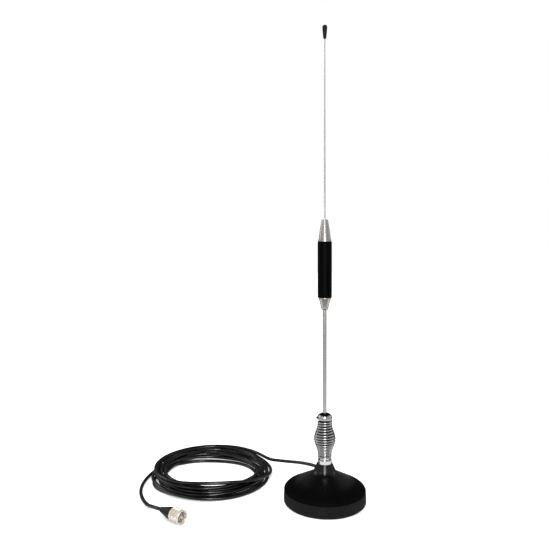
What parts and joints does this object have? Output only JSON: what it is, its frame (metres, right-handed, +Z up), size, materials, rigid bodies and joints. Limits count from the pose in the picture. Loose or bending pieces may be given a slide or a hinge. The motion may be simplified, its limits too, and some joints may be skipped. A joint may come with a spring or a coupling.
{
  "type": "magnetic mount whip antenna",
  "caption": "Omnidirectional whip antenna with a loading coil and a shock spring on a round magnetic base, with coiled coaxial cable and a threaded plug.",
  "frame": {"origin": "middle of the base's underside, on the face that rests on or clings to a surface", "axes": "+Z up the mast; the cable lies on the -X side and the plug points to +X and -Y"},
  "size_m": [0.3415, 0.2766, 0.699],
  "materials": {
    "pad_foam": "matt rubber sheet",
    "ferrite": "ground ferrite, dark grey",
    "plated_steel": "zinc plated",
    "band_rubber": "moulded, matt",
    "cover_plastic": "moulded black, semi-gloss",
    "copper": "bare copper",
    "brass": "turned",
    "white_plastic": "natural nylon",
    "chrome": "polished plating",
    "spring_steel": "polished stainless wire",
    "dark_steel": "blackened",
    "stainless_rod": "drawn stainless rod",
    "satin_nickel": "turned and nickel plated",
    "sleeve_plastic": "shrink sleeve, satin",
    "tip_rubber": "dipped rubber",
    "cable_jacket": "glossy PVC jacket",
    "boot_rubber": "moulded, satin",
    "plug_nickel": "nickel plated, warm tint"
  },
  "bodies": {
    "base": {"base_pad": "pad_foam", "ring_magnet": "ferrite", "steel_plate": "plated_steel", "base_screws": "plated_steel", "base_band": "band_rubber", "base_cover": "cover_plastic", "cable_gland": "band_rubber", "core_wire": "copper", "mount_stud": "brass", "stud_nut": "brass", "solder_lug": "plated_steel", "stud_insulator": "white_plastic", "spring_foot": "chrome", "cable_lead": "cable_jacket", "cable_coil": "cable_jacket", "cable_tail": "cable_jacket", "connector_boot": "boot_rubber", "connector_body": "plug_nickel", "connector_insulator": "white_plastic", "centre_pin": "plug_nickel"},
    "spring": {"barrel_spring": "spring_steel", "spring_braid": "copper"},
    "spring_top": {"spring_head": "chrome", "set_screw": "dark_steel"},
    "mast": {"lower_mast": "stainless_rod", "coil_lower_ferrule": "satin_nickel", "coil_sleeve": "sleeve_plastic", "coil_former": "white_plastic", "loading_coil": "copper", "coil_upper_ferrule": "satin_nickel", "upper_whip": "stainless_rod", "tip_cap": "tip_rubber"},
    "coupling": {"coupling_nut": "plug_nickel"}
  },
  "joints": [
    {"name": "spring_bend_x", "type": "hinge", "parent": "base", "child": "spring", "pos_m": [0, 0, 0.077], "axis": [1, 0, 0], "range_deg": [-35, 35], "stiffness_Nm_per_rad": 6, "deforming": ["barrel_spring", "spring_braid"]},
    {"name": "spring_bend_y", "type": "hinge", "parent": "spring", "child": "spring_top", "pos_m": [0, 0, 0.107], "axis": [0, 1, 0], "range_deg": [-35, 35], "stiffness_Nm_per_rad": 6, "deforming": ["barrel_spring", "spring_braid"]},
    {"name": "mast_slide", "type": "slide", "parent": "spring_top", "child": "mast", "axis": [0, 0, 1], "range_m": [0, 0.012]},
    {"name": "coupling_spin", "type": "hinge", "parent": "base", "child": "coupling", "pos_m": [-0.2046, -0.0678, 0.01], "axis": [0.8, -0.6, 0], "continuous": true}
  ]
}
